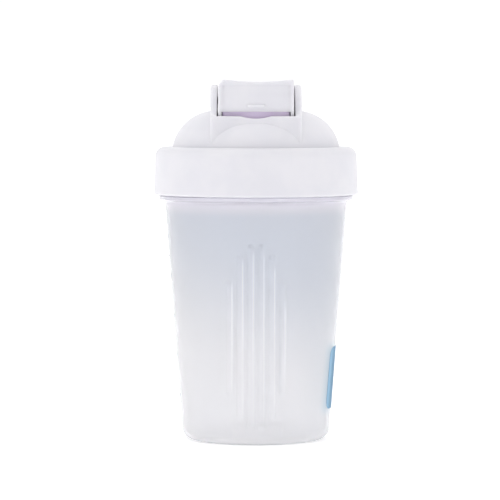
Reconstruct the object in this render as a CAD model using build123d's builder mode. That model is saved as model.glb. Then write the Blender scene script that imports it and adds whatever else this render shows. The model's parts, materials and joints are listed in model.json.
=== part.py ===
from build123d import *

import os
from math import asin, atan2, cos, degrees, hypot, radians, sin, sqrt, tan

# A screw-top shaker bottle with a flip cap over its spout. Millimetres, +Z up.
# The origin is the centre of the base. -Y is the front, where the spout, the thumb tab and
# one set of grip ribs are. The flip cap hinges about X.

# ---- Cup ----
cup_base_radius = 32.9  # outer wall carried down to the base plane
cup_top_radius = 41.0  # outer wall carried up to the flange
cup_body_height = 108.4  # base plane to the flange's underside
cup_wall = 1.8
cup_floor = 2.2
base_fillet = 5.5
inner_fillet = 4.0
foot_recess = 1.0  # the hollow under the base, inside the foot ring
foot_ring_width = 4.0
flange_proud = 1.6  # the flange beyond the neck
flange_thickness = 1.9
flange_cove = 2.3
neck_step = 1.0  # the neck beyond the top of the wall
neck_wall = 2.1
neck_height = 16.7
rim_fillet = 0.6

# ---- Grip ribs: half-round bars in a tall oval, front and back ----
rib_count = 6
rib_pitch = 4.7
rib_radius = 1.7
rib_proud = 0.6
oval_centre_height = 48.0
oval_half_height = 40.0
oval_half_width = 14.5

# ---- Screw thread: two starts, one on the neck and one to match in the collar ----
thread_starts = 2
thread_lead = 12.0
thread_height = 1.2
thread_root_width = 2.4
thread_crest_width = 1.2
thread_sink = 0.3  # how far a thread's root is buried in its wall
neck_thread_foot = 3.6  # flange's top to the centre of the neck thread's lower end
neck_thread_head = 4.1  # rim down to the centre of the neck thread's upper end
collar_thread_foot = 2.4  # collar's lower edge to the centre of its thread's lower end
collar_thread_head = 9.5  # ceiling down to the centre of the collar thread's upper end
thread_tip_gap = 0.45  # collar thread's crest to the neck
thread_crest_gap = 0.55  # neck thread's crest to the collar's bore

# ---- Printed marks on the cup ----
ink = 0.25
ink_gap = 0.02
panel_width = 27.0
panel_height = 28.0
panel_corner = 4.0
panel_bottom = 14.4
tick_count = 9
tick_pitch = 9.0
tick_first = 20.0
tick_height = 0.7
tick_long = 11.0
tick_short = 6.5

# ---- Strainer ----
strainer_depth = 13.0
strainer_wall = 1.2
strainer_floor = 1.4
strainer_flange = 1.2
strainer_gap = 0.4
window_pitch = 6.6
window_bar = 1.6
window_edge = 5.0  # plain ring of floor outside the windows
strainer_fillet = 3.0

# ---- Gasket ----
gasket_thickness = 1.8
gasket_width = 4.8
gasket_gap = 0.4

# ---- Lid ----
collar_wall = 2.25
collar_draft = 0.75
collar_gap = 0.3  # flange's top to the collar's lower edge
lid_plate = 2.1  # ceiling to the collar's top
collar_bottom_fillet = 0.9
collar_top_fillet = 4.2
dome_radius = 20.0
dome_drop = 3.7  # collar's top down to the centre of the dome's rounding
collar_shoulder = 8.0  # flat ring that the dome leaves on the collar, beyond its full rounding
dome_shell = 2.0

# ---- Hinge tower: two fins with a pocket between them ----
fin_thickness = 3.0
fin_round = 1.8
front_overhang = 13.7  # the pocket's front face beyond the centre of the dome's rounding
front_wall = 1.6
pocket_depth = 5.9  # the dome's top down to the pocket's floor
pocket_floor = 2.0
tower_wall = 2.0
parapet_drop = 2.3  # the dome's top down to the parapet's top
notch_width = 14.0
notch_depth = 1.1
fin_front_drop = 1.9  # the dome's top down to the fins' front corners
hinge_setback = 10.0  # hinge axis behind the bottle's axis
hinge_rise = 4.4  # hinge axis above the dome's top
barrel_radius = 7.0
fin_head_proud = 0.2  # the fins' heads beyond the barrel
fin_corner_round = 1.5  # the fins' front corners, seen from the side
fin_knee_run = 11.0  # front corner back to where the fin starts to climb
fin_knee_rise = 1.8
fin_brow_setforward = 14.4  # hinge axis forward to where the climb ends
fin_sweep_round = 14.0  # rounding at both ends of the climb
fin_tail_angle = 60.0  # the fin's rear slope below level
barrel_gap = 0.6

# ---- Spout ----
spout_bore = 8.5
spout_wall = 2.0
spout_side_gap = 2.9  # the spout's wall to the seal's skirt beside it
spout_front_gap = 1.3  # the spout's wall to the seal's skirt before it
spout_rise = 5.6  # the dome's top up to the spout's rim

# ---- Flip cap ----
cap_side_gap = 0.7
cap_cheek = 1.5
cap_plate = 3.0
cap_front_gap = 0.6  # the parapet's rear face to the cap's cheeks
cap_cheek_rise = 2.5  # the pocket's floor up to the cheeks' lower edge
lip_rise = 1.9  # the parapet's top up to the cap's lip
cap_bulge = 1.8  # how far the front face swells ahead of the lip
cap_front_wall = 1.5
lip_cove = 1.6  # where the front face swells out of the cheeks
cap_round = 0.8
pad_left_inset = 2.3  # the saddle pad stops short of the cap's left cheek
pad_end_rise = 2.6
pad_dip = 1.0
pad_setback = 1.5
pad_length = 28.1
pad_round = 0.7
tab_width = 8.0
tab_height = 1.4
tab_rise = 1.9  # the lip up to the tab
tab_proud = 2.2
tab_round = 0.5

# ---- Spout seal ----
seal_side_gap = 0.3
seal_front_gap = 0.1
seal_skirt = 1.5
seal_rim_gap = 0.3
seal_bottom_rise = 1.7  # the pocket's floor up to the seal's skirt
seal_return = 17.0
seal_rear_margin = 3.2  # the spout's bore to the seal's rear edge
plug_top_gap = 0.4
plug_tip_gap = 1.0
plug_length = 4.8

# ---- Hinge pin ----
pin_radius = 1.75
pin_fin_gap = 0.05
pin_barrel_gap = 0.2
pin_recess = 0.3
pin_chamfer = 0.4

# ---- Worked-out places ----
neck_radius = cup_top_radius + neck_step
flange_radius = neck_radius + flange_proud
spout_outer = spout_bore + spout_wall
seal_half_width = spout_outer + spout_side_gap + seal_skirt
cap_half_width = seal_half_width + seal_side_gap + cap_cheek
pocket_half_width = cap_half_width + cap_side_gap
fin_head_radius = barrel_radius + fin_head_proud
flange_top = cup_body_height + flange_thickness
rim_z = flange_top + neck_height
ceiling_z = rim_z + strainer_flange + gasket_thickness
collar_bore = neck_radius + thread_height + thread_crest_gap
collar_radius = collar_bore + collar_wall
collar_bottom = flange_top + collar_gap
collar_top = ceiling_z + lid_plate
dome_ring = collar_radius - collar_shoulder - dome_radius
dome_centre_z = collar_top - dome_drop
dome_top = dome_centre_z + dome_radius
front_y = -(dome_ring + front_overhang)
pocket_front_y = front_y + front_wall
hinge_y = hinge_setback
hinge_z = dome_top + hinge_rise
pocket_rear_y = hinge_y + barrel_radius + barrel_gap
pocket_floor_z = dome_top - pocket_depth
parapet_z = dome_top - parapet_drop
fin_outer = pocket_half_width + fin_thickness
spout_rim_z = dome_top + spout_rise
cap_front_y = pocket_front_y + cap_front_gap
cavity_front_y = cap_front_y + cap_front_wall
seal_front_y = cavity_front_y + seal_front_gap
spout_y = seal_front_y + seal_skirt + spout_front_gap + spout_outer
cap_top_z = hinge_z + barrel_radius
cap_under_z = cap_top_z - cap_plate
lip_z = parapet_z + lip_rise
cheek_z = pocket_floor_z + cap_cheek_rise
pitch = thread_lead / thread_starts
neck_thread_z = flange_top + neck_thread_foot
neck_thread_turns = (neck_height - neck_thread_foot - neck_thread_head) / thread_lead


def wall_radius(z):
    """Outer radius of the cup's wall at height z."""
    return cup_base_radius + (cup_top_radius - cup_base_radius) * z / cup_body_height


def dome_reach(z, shell):
    """Radius of the dome's surface at height z, with shell taken off its thickness."""
    rounding = dome_radius - shell
    return dome_ring + sqrt(rounding**2 - (z - dome_centre_z) ** 2)


def helical_ridge(root, crest, z, turns, start_angle):
    """One thread start: a trapezium swept up a helix, its root buried in the wall."""
    outward = 1 if crest > root else -1
    buried = root - outward * thread_sink
    with BuildPart() as ridge:
        with BuildLine() as path:
            Helix(thread_lead, thread_lead * turns, buried, center=(0, 0, z))
        with BuildSketch(Plane(path.line @ 0, x_dir=(1, 0, 0), z_dir=path.line % 0)):
            reach = crest - buried
            with BuildLine():
                Polyline(
                    (0, -thread_root_width / 2),
                    (reach, -thread_crest_width / 2),
                    (reach, thread_crest_width / 2),
                    (0, thread_root_width / 2),
                    close=True,
                )
            make_face()
        sweep(is_frenet=True)
    return ridge.part.rotate(Axis.Z, start_angle)


def wall_film(outline, centre_z, quarter):
    """A film of ink on the cup's wall, its outline seen along the X axis.

    quarter is 1 on the right side and -1 on the left.
    """
    low = centre_z - cup_body_height / 2
    high = centre_z + cup_body_height / 2
    with BuildPart() as film:
        with BuildSketch(Plane.XZ):
            with BuildLine():
                Polyline(
                    (wall_radius(low) + ink_gap, low),
                    (wall_radius(low) + ink_gap + ink, low),
                    (wall_radius(high) + ink_gap + ink, high),
                    (wall_radius(high) + ink_gap, high),
                    close=True,
                )
            make_face()
        revolve(axis=Axis.Z)
        with BuildSketch(Plane.YZ):
            add(outline)
        extrude(amount=quarter * 2 * cup_top_radius, mode=Mode.INTERSECT)
    return film.part


# ---- Cup ----
neck_ridges = [
    helical_ridge(
        neck_radius,
        neck_radius + thread_height,
        neck_thread_z,
        neck_thread_turns,
        360 * start / thread_starts,
    )
    for start in range(thread_starts)
]

with BuildPart() as cup:
    with BuildSketch(Plane.XZ):
        with BuildLine():
            FilletPolyline(
                (0, foot_recess),
                (cup_base_radius - base_fillet - foot_ring_width, foot_recess),
                (cup_base_radius - base_fillet - foot_ring_width + foot_recess, 0),
                (cup_base_radius, 0),
                (cup_top_radius, cup_body_height),
                (flange_radius, cup_body_height),
                (flange_radius, flange_top),
                (neck_radius, flange_top),
                (neck_radius, rim_z),
                (0, rim_z),
                radius=[0, 0, 0, base_fillet, flange_cove, rim_fillet, rim_fillet, 0, rim_fillet, 0],
                close=True,
            )
        make_face()
    revolve(axis=Axis.Z)
    for ridge in neck_ridges:
        add(ridge)
    for side in (-1, 1):
        for number in range(rib_count):
            rib_x = (number - (rib_count - 1) / 2) * rib_pitch
            rib_half = oval_half_height * sqrt(1 - (rib_x / oval_half_width) ** 2)
            ends = []
            for rib_z in (oval_centre_height - rib_half, oval_centre_height + rib_half):
                rib_y = sqrt((wall_radius(rib_z) + rib_proud - rib_radius) ** 2 - rib_x**2)
                ends.append(Vector(rib_x, side * rib_y, rib_z))
            with BuildSketch(Plane(ends[0], z_dir=ends[1] - ends[0])):
                Circle(rib_radius)
            extrude(amount=(ends[1] - ends[0]).length)
            with Locations(*ends):
                Sphere(rib_radius)
    with BuildSketch(Plane.XZ):
        with BuildLine():
            FilletPolyline(
                (0, cup_floor),
                (wall_radius(cup_floor) - cup_wall, cup_floor),
                (cup_top_radius - cup_wall, cup_body_height - flange_cove),
                (neck_radius - neck_wall, flange_top),
                (neck_radius - neck_wall, rim_z),
                (0, rim_z),
                radius=[0, inner_fillet, 0, 0, 0, 0],
                close=True,
            )
        make_face()
    revolve(axis=Axis.Z, mode=Mode.SUBTRACT)

# ---- Printed marks ----
panel_middle = panel_bottom + panel_height / 2
with BuildSketch() as panel_outline:
    with Locations((0, panel_middle)):
        RectangleRounded(panel_width, panel_height, panel_corner)
with BuildPart() as side_panel:
    add(wall_film(panel_outline.sketch, panel_middle, 1))

with BuildSketch() as tick_outline:
    for number in range(tick_count):
        tick_length = tick_long if number % 2 == 0 else tick_short
        with Locations((tick_long / 2 - tick_length / 2, tick_first + number * tick_pitch)):
            Rectangle(tick_length, tick_height)
tick_middle = tick_first + (tick_count - 1) / 2 * tick_pitch
with BuildPart() as volume_scale:
    add(wall_film(tick_outline.sketch, tick_middle, -1))

# ---- Strainer ----
basket_radius = neck_radius - neck_wall - strainer_gap
basket_floor_z = rim_z - strainer_depth
window_radius = basket_radius - window_edge
bar_count = 2 * int(window_radius / window_pitch) + 2

with BuildPart() as strainer:
    with BuildSketch(Plane.XZ):
        with BuildLine():
            FilletPolyline(
                (0, basket_floor_z),
                (basket_radius, basket_floor_z),
                (basket_radius, rim_z),
                (neck_radius - strainer_gap, rim_z),
                (neck_radius - strainer_gap, rim_z + strainer_flange),
                (basket_radius - strainer_wall, rim_z + strainer_flange),
                (basket_radius - strainer_wall, basket_floor_z + strainer_floor),
                (0, basket_floor_z + strainer_floor),
                radius=[0, strainer_fillet, 0, 0, 0, 0, strainer_fillet - strainer_wall, 0],
                close=True,
            )
        make_face()
    revolve(axis=Axis.Z)
    with BuildSketch(Plane.XY.offset(basket_floor_z)):
        Circle(window_radius)
        with GridLocations(window_pitch, 0, bar_count, 1):
            Rectangle(window_bar, 2 * window_radius, mode=Mode.SUBTRACT)
        with GridLocations(0, window_pitch, 1, bar_count):
            Rectangle(2 * window_radius, window_bar, mode=Mode.SUBTRACT)
    extrude(amount=strainer_floor, mode=Mode.SUBTRACT)

# ---- Gasket ----
gasket_outer = collar_bore - gasket_gap
with BuildPart() as lid_gasket:
    with BuildSketch(Plane.XY.offset(rim_z + strainer_flange)):
        Circle(gasket_outer)
        Circle(gasket_outer - gasket_width, mode=Mode.SUBTRACT)
    extrude(amount=gasket_thickness)

# ---- Lid ----
collar_thread_z = collar_bottom + collar_thread_foot
collar_thread_turns = (ceiling_z - collar_thread_head - collar_thread_z) / thread_lead
collar_thread_angle = 360 * (collar_thread_z - neck_thread_z + pitch / 2) / thread_lead
collar_ridges = [
    helical_ridge(
        collar_bore,
        neck_radius + thread_tip_gap,
        collar_thread_z,
        collar_thread_turns,
        collar_thread_angle + 360 * start / thread_starts,
    )
    for start in range(thread_starts)
]

shell_ring = dome_radius - dome_shell
tower_rear_y = pocket_rear_y + tower_wall
tower_middle_y = (front_y + tower_rear_y) / 2
tower_length = tower_rear_y - front_y

# The space under the dome, with the pocket's floor and walls left standing in it.
with BuildPart() as under_dome:
    with BuildSketch(Plane.XZ):
        with BuildLine():
            bore = Polyline(
                (dome_ring, dome_top - dome_shell),
                (0, dome_top - dome_shell),
                (0, collar_bottom),
                (collar_bore, collar_bottom),
                (collar_bore, ceiling_z),
                (dome_reach(ceiling_z, dome_shell), ceiling_z),
            )
            RadiusArc(bore @ 1, bore @ 0, -shell_ring)
        make_face()
    revolve(axis=Axis.Z)
    with BuildSketch(Plane.XY.offset(ceiling_z)):
        with Locations((0, tower_middle_y)):
            Rectangle(2 * (fin_outer - tower_wall), tower_length - 2 * tower_wall)
    extrude(amount=pocket_floor_z - pocket_floor - ceiling_z)
    with BuildSketch(Plane.XY.offset(pocket_floor_z - pocket_floor)):
        with Locations((0, tower_middle_y)):
            Rectangle(2 * (pocket_half_width + tower_wall), tower_length)
    extrude(amount=dome_radius, mode=Mode.SUBTRACT)

fins = []
for side in (-1, 1):
    with BuildPart() as fin:
        with BuildSketch(Plane.YZ.offset(side * pocket_half_width)):
            with BuildLine():
                fin_foot = collar_top - lid_plate / 2
                fin_front_z = dome_top - fin_front_drop
                fin_top_z = hinge_z + fin_head_radius
                head_y = hinge_y + fin_head_radius * tan(radians(fin_tail_angle / 2))
                tail_y = head_y + (fin_top_z - fin_foot) / tan(radians(fin_tail_angle))
                FilletPolyline(
                    (front_y, fin_foot),
                    (front_y, fin_front_z),
                    (front_y + fin_knee_run, fin_front_z + fin_knee_rise),
                    (hinge_y - fin_brow_setforward, fin_top_z),
                    (head_y, fin_top_z),
                    (tail_y, fin_foot),
                    radius=[0, fin_corner_round, fin_sweep_round, fin_sweep_round, fin_head_radius, 0],
                    close=True,
                )
            make_face()
        extrude(amount=side * fin_thickness)
        outer_face = fin.faces().sort_by(Axis.X)[-1 if side > 0 else 0]
        fillet(outer_face.edges().sort_by(Axis.Z)[1:], fin_round)
    fins.append(fin.part)

with BuildPart() as lid:
    with BuildSketch(Plane.XZ) as lid_section:
        with BuildLine():
            profile = Polyline(
                (dome_ring, dome_top),
                (0, dome_top),
                (0, collar_bottom),
                (collar_radius, collar_bottom),
                (collar_radius - collar_draft, collar_top),
                (dome_reach(collar_top, 0), collar_top),
            )
            RadiusArc(profile @ 1, profile @ 0, -dome_radius)
        make_face()
        corners = lid_section.vertices()
        fillet(corners.sort_by_distance((collar_radius, collar_bottom))[0], collar_bottom_fillet)
        corners = lid_section.vertices()
        fillet(corners.sort_by_distance((collar_radius, collar_top))[0], collar_top_fillet)
    revolve(axis=Axis.Z)
    with BuildSketch(Plane.XY.offset(ceiling_z + lid_plate / 2)):
        with Locations((0, tower_middle_y)):
            Rectangle(2 * pocket_half_width + fin_thickness - fin_round, tower_length)
    extrude(amount=parapet_z - ceiling_z - lid_plate / 2)
    for fin_part in fins:
        add(fin_part)
    add(under_dome.part, mode=Mode.SUBTRACT)
    for ridge in collar_ridges:
        add(ridge)
    with BuildSketch(Plane.XY.offset(pocket_floor_z)):
        with Locations((0, (pocket_front_y + pocket_rear_y) / 2)):
            Rectangle(2 * pocket_half_width, pocket_rear_y - pocket_front_y)
    extrude(amount=hinge_z + fin_head_radius - pocket_floor_z, mode=Mode.SUBTRACT)
    notch_radius = ((notch_width / 2) ** 2 + notch_depth**2) / (2 * notch_depth)
    with BuildSketch(Plane.XZ.offset(-front_y)):
        with Locations((0, parapet_z - notch_depth + notch_radius)):
            Circle(notch_radius)
    extrude(amount=-front_wall, mode=Mode.SUBTRACT)
    with BuildSketch(Plane.XY.offset(pocket_floor_z - pocket_floor)):
        with Locations((0, spout_y)):
            Circle(spout_outer)
    extrude(amount=spout_rim_z - pocket_floor_z + pocket_floor)
    with BuildSketch(Plane.XY.offset(pocket_floor_z - pocket_floor)):
        with Locations((0, spout_y)):
            Circle(spout_bore)
    extrude(amount=spout_rim_z - pocket_floor_z + pocket_floor, mode=Mode.SUBTRACT)
    with BuildSketch(Plane.YZ.offset(-fin_outer)):
        with Locations((hinge_y, hinge_z)):
            Circle(pin_radius + pin_fin_gap)
    extrude(amount=2 * fin_outer, mode=Mode.SUBTRACT)

# ---- Flip cap ----
cavity_rear_y = hinge_y - barrel_radius - barrel_gap
cheek_run = hinge_y - cap_front_y
cheek_drop = hinge_z - cheek_z
# The cheeks' lower edge leaves the barrel at a tangent.
under_slope = atan2(cheek_drop, cheek_run) - asin(barrel_radius / hypot(cheek_run, cheek_drop))
with BuildPart() as flip_cap:
    with BuildSketch(Plane.YZ.offset(-cap_half_width)) as cap_section:
        with BuildLine():
            Line((cap_front_y, cheek_z), (cap_front_y, lip_z))
            brow = (cap_front_y, cap_top_z)
            face_middle = (cap_front_y - cap_bulge, (lip_z + cap_top_z) / 2)
            ThreePointArc((cap_front_y, lip_z), face_middle, brow)
            Line(brow, (hinge_y, cap_top_z))
            CenterArc((hinge_y, hinge_z), barrel_radius, 90, degrees(under_slope) - 180)
            touch = (hinge_y + barrel_radius * sin(under_slope), hinge_z - barrel_radius * cos(under_slope))
            Line(touch, (cap_front_y, cheek_z))
        make_face()
        for corner, rounding in (
            ((cap_front_y, cheek_z), cap_round),
            ((cap_front_y, lip_z), lip_cove),
            (brow, cap_round),
        ):
            fillet(cap_section.vertices().sort_by_distance(corner)[0], rounding)
    extrude(amount=2 * cap_half_width)
    cheeks = flip_cap.faces().filter_by(Axis.X)
    fillet(cheeks.edges(), cap_round)
    with BuildSketch(Plane.YZ.offset(-(cap_half_width - cap_cheek))):
        with Locations(((cavity_front_y + cavity_rear_y) / 2, (cheek_z + cap_under_z) / 2)):
            Rectangle(cavity_rear_y - cavity_front_y, cap_under_z - cheek_z)
        with Locations((cap_front_y, (cheek_z + lip_z) / 2)):
            Rectangle(2 * cap_front_wall, lip_z - cheek_z)
        with Locations(((cavity_front_y + cavity_rear_y) / 2, cheek_z)):
            Rectangle(cavity_rear_y - cavity_front_y, 2 * cap_round)
    extrude(amount=2 * (cap_half_width - cap_cheek), mode=Mode.SUBTRACT)
    pad_front_y = cap_front_y + pad_setback - cap_bulge
    with BuildSketch(Plane.XZ.offset(-pad_front_y)):
        with BuildLine():
            pad_left = pad_left_inset - cap_half_width
            saddle = (
                (pad_left, cap_top_z + pad_end_rise),
                (pad_left_inset / 2, cap_top_z + pad_end_rise - pad_dip),
                (cap_half_width, cap_top_z + pad_end_rise),
            )
            ThreePointArc(*saddle)
            foot_z = cap_top_z - cap_plate / 2
            Polyline(saddle[2], (cap_half_width, foot_z), (pad_left, foot_z), saddle[0])
        pad_face = make_face()
        fillet(pad_face.vertices().group_by(Axis.Y)[-1], pad_round)
    extrude(amount=-pad_length)
    with BuildSketch(Plane.XY.offset(lip_z + tab_rise)):
        with Locations((0, cap_front_y - tab_proud + cap_front_wall)):
            RectangleRounded(tab_width, 2 * cap_front_wall, tab_round)
    extrude(amount=tab_height)
    with BuildSketch(Plane.YZ.offset(-cap_half_width)):
        with Locations((hinge_y, hinge_z)):
            Circle(pin_radius + pin_barrel_gap)
    extrude(amount=2 * cap_half_width, mode=Mode.SUBTRACT)

# ---- Spout seal ----
seal_tail = spout_y + spout_bore + seal_rear_margin - seal_front_y
seal_plate_z = spout_rim_z + seal_rim_gap
seal_bottom_z = pocket_floor_z + seal_bottom_rise
plug_taper_radius = spout_bore - plug_tip_gap
with BuildPart() as spout_seal:
    with BuildSketch(Plane.XY.offset(seal_plate_z)):
        with Locations((0, seal_front_y + seal_tail / 2)):
            Rectangle(2 * seal_half_width, seal_tail)
    extrude(amount=cap_under_z - seal_plate_z)
    with BuildSketch(Plane.XY.offset(seal_bottom_z)):
        with Locations((0, seal_front_y + seal_return / 2)):
            Rectangle(2 * seal_half_width, seal_return)
        with Locations((0, seal_front_y + seal_skirt + seal_return / 2)):
            Rectangle(2 * (seal_half_width - seal_skirt), seal_return, mode=Mode.SUBTRACT)
    extrude(amount=seal_plate_z - seal_bottom_z)
    with BuildSketch(Plane.XY.offset(seal_plate_z - plug_length)):
        with Locations((0, spout_y)):
            Circle(plug_taper_radius)
    with BuildSketch(Plane.XY.offset(seal_plate_z)):
        with Locations((0, spout_y)):
            Circle(spout_bore - plug_top_gap)
    loft()

# ---- Hinge pin ----
pin_half_length = fin_outer - pin_recess
with BuildPart() as hinge_pin:
    with BuildSketch(Plane.YZ.offset(-pin_half_length)):
        with Locations((hinge_y, hinge_z)):
            Circle(pin_radius)
    extrude(amount=2 * pin_half_length)
    chamfer(hinge_pin.edges().filter_by(GeomType.CIRCLE), pin_chamfer)

os.makedirs("parts", exist_ok=True)

cup.part.label = "cup"
export_step(cup.part, "parts/cup.step")

side_panel.part.label = "side_panel"
export_step(side_panel.part, "parts/side_panel.step")

volume_scale.part.label = "volume_scale"
export_step(volume_scale.part, "parts/volume_scale.step")

strainer.part.label = "strainer"
export_step(strainer.part, "parts/strainer.step")

lid_gasket.part.label = "lid_gasket"
export_step(lid_gasket.part, "parts/lid_gasket.step")

lid.part.label = "lid"
export_step(lid.part, "parts/lid.step")

flip_cap.part.label = "flip_cap"
export_step(flip_cap.part, "parts/flip_cap.step")

spout_seal.part.label = "spout_seal"
export_step(spout_seal.part, "parts/spout_seal.step")

hinge_pin.part.label = "hinge_pin"
export_step(hinge_pin.part, "parts/hinge_pin.step")
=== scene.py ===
"""A small shaker bottle: frosted cup, screw-on domed lid, hinged flip cap and mixing strainer.

Every class below holds the sizes of one piece as fields, in metres, and reads its place from the
fixed frame. A piece is built as a mesh, dressed in its finish, and set to ride on its body.
"""

from __future__ import annotations

import json
import logging
import math
from collections.abc import Callable, Sequence
from dataclasses import dataclass
from enum import Enum

import bmesh
import bpy
import numpy as np
from mathutils import Matrix, Vector

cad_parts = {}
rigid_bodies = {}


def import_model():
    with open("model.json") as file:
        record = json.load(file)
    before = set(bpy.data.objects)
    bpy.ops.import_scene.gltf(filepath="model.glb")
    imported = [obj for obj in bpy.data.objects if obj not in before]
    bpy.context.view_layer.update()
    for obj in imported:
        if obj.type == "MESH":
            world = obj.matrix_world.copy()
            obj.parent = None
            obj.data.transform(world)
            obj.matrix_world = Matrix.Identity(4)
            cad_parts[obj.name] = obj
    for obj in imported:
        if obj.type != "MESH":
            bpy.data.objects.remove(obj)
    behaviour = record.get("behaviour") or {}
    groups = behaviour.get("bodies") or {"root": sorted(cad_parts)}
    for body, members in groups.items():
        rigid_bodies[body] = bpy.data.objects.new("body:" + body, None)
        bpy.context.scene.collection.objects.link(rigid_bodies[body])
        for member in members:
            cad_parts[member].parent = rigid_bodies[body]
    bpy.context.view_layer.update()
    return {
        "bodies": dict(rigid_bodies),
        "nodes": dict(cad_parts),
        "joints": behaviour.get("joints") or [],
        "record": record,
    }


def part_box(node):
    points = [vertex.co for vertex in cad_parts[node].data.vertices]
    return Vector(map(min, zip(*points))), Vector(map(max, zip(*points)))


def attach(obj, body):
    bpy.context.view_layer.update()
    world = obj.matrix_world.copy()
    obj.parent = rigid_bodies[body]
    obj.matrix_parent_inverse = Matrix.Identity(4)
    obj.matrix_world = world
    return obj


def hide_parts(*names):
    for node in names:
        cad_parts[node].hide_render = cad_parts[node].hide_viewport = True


LOG = logging.getLogger("shaker")
MM = 0.001
TURN = 2 * math.pi
SHARP = math.radians(40)
ON_AXIS = 1e-7
BAR_FACETS = 48
WHITE = (1.0, 1.0, 1.0)
BLACK = (0.0, 0.0, 0.0)
POLYPROPYLENE_IOR = 1.49
SILICONE_IOR = 1.41
# The grip ribs: their spacing, and the half width, middle height and half height of their oval.
RIB_SPACING = 4.7 * MM
RIB_OVAL = (14.5 * MM, 48 * MM, 40 * MM)

Point = tuple[float, float]
Span = tuple[float, float]
Colour = tuple[float, float, float]
Corner = tuple[Point, float]


class Side(Enum):
    """Which way a piece of the bottle looks, as the sign of its Y."""

    FRONT = -1
    BACK = 1


class Cut(Enum):
    """How one solid changes another."""

    TAKE_AWAY = "DIFFERENCE"
    JOIN = "UNION"
    KEEP_COMMON = "INTERSECT"


# ---------------------------------------------------------------------------------------------
# Shader tools
# ---------------------------------------------------------------------------------------------


class Term:
    """A number that varies over a surface, so that shader maths reads as arithmetic."""

    def __init__(self, shader: "Shader", socket: bpy.types.NodeSocket) -> None:
        """Wraps one output socket.

        Args:
            shader: the tree that the socket's node is in.
            socket: the output to wrap.
        """
        self.shader = shader
        self.socket = socket

    def _with(self, operation: str, first: object, second: object = None) -> "Term":
        """Adds one Math node.

        Args:
            operation: the Math node's operation.
            first: its first value or link.
            second: its second value or link, if it takes one.

        Returns:
            The node's output.
        """
        inputs = {0: first} if second is None else {0: first, 1: second}
        return self.shader.term("ShaderNodeMath", {"operation": operation}, inputs)

    def __add__(self, other: "Term | float") -> "Term":
        """self + other."""
        return self._with("ADD", self, other)

    __radd__ = __add__

    def __sub__(self, other: "Term | float") -> "Term":
        """self - other."""
        return self._with("SUBTRACT", self, other)

    def __rsub__(self, other: "Term | float") -> "Term":
        """other - self."""
        return self._with("SUBTRACT", other, self)

    def __mul__(self, other: "Term | float") -> "Term":
        """self * other."""
        return self._with("MULTIPLY", self, other)

    __rmul__ = __mul__

    def __truediv__(self, other: "Term | float") -> "Term":
        """self / other."""
        return self._with("DIVIDE", self, other)

    def __abs__(self) -> "Term":
        """The size of self without its sign."""
        return self._with("ABSOLUTE", self)

    def folded(self, half: float) -> "Term":
        """How far self is from the nearest multiple of twice half."""
        return self._with("PINGPONG", self, half)


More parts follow.
